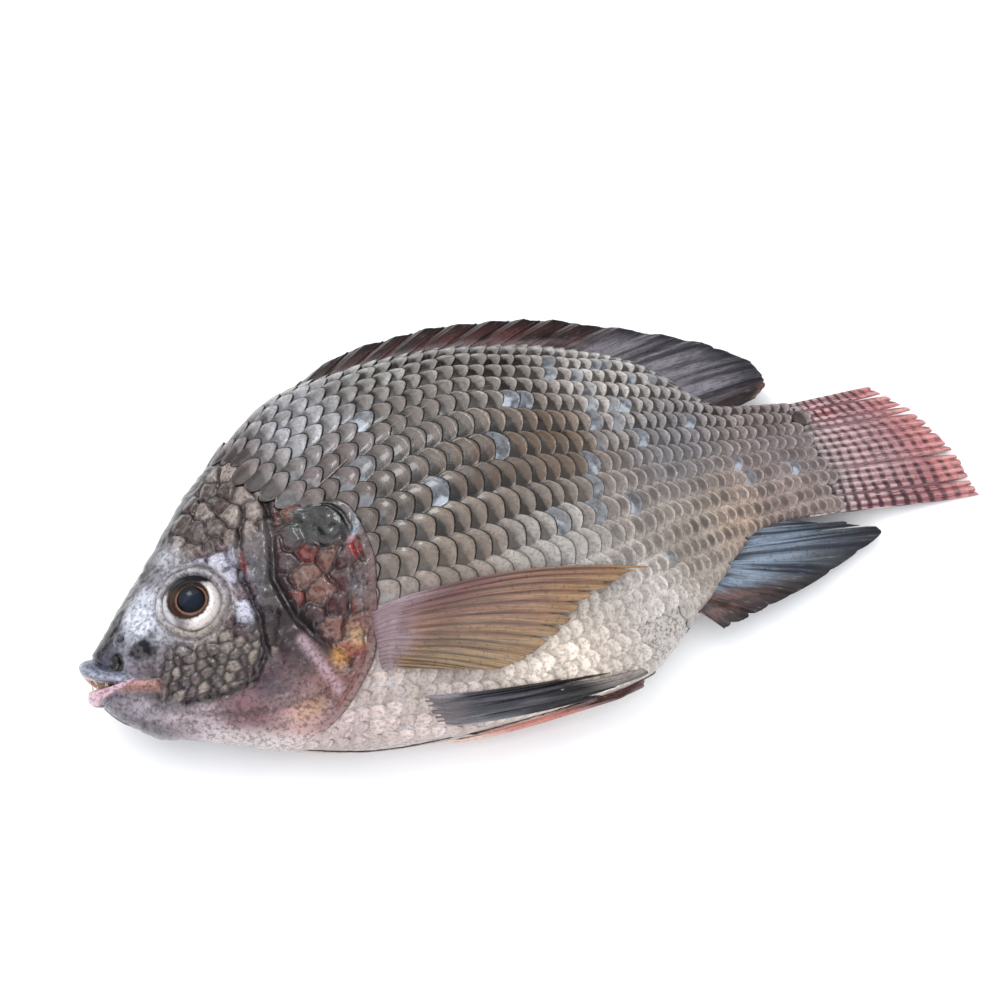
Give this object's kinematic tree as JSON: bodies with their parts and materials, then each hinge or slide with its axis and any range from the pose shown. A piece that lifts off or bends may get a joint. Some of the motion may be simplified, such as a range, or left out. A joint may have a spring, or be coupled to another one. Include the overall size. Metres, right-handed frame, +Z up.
{
  "type": "whole tilapia",
  "caption": "Whole uncleaned freshwater fish lying on its side, with a deep scaled body, two eyes, a long spiny back fin, tail, anal, breast and belly fins.",
  "frame": {"origin": "on the table, under the middle of the whole fish's box", "axes": "the fish lies on its right side: +X from the head to the tail, +Y from the belly to the back, +Z up, out of the left flank"},
  "size_m": [0.322, 0.1522, 0.0493],
  "materials": {
    "scaled_skin": "wet overlapping scales, grey-brown above and cream on the belly",
    "eye": "clear wet cornea over a silver iris and a blue-black pupil",
    "dorsal_fin_skin": "damp dark membrane over spines",
    "anal_fin_skin": "damp blue-black membrane over rays",
    "tail_fin_skin": "damp red membrane with dark bars",
    "pectoral_fin_skin": "damp golden-brown translucent membrane over rays",
    "pelvic_fin_skin": "damp dark membrane over rays"
  },
  "bodies": {
    "root": {"body": "scaled_skin", "left_eye": "eye", "right_eye": "eye", "dorsal_fin": "dorsal_fin_skin", "anal_fin": "anal_fin_skin", "tail_fin": "tail_fin_skin", "left_pectoral_fin": "pectoral_fin_skin", "right_pectoral_fin": "pectoral_fin_skin", "left_pelvic_fin": "pelvic_fin_skin", "right_pelvic_fin": "pelvic_fin_skin"}
  },
  "joints": []
}
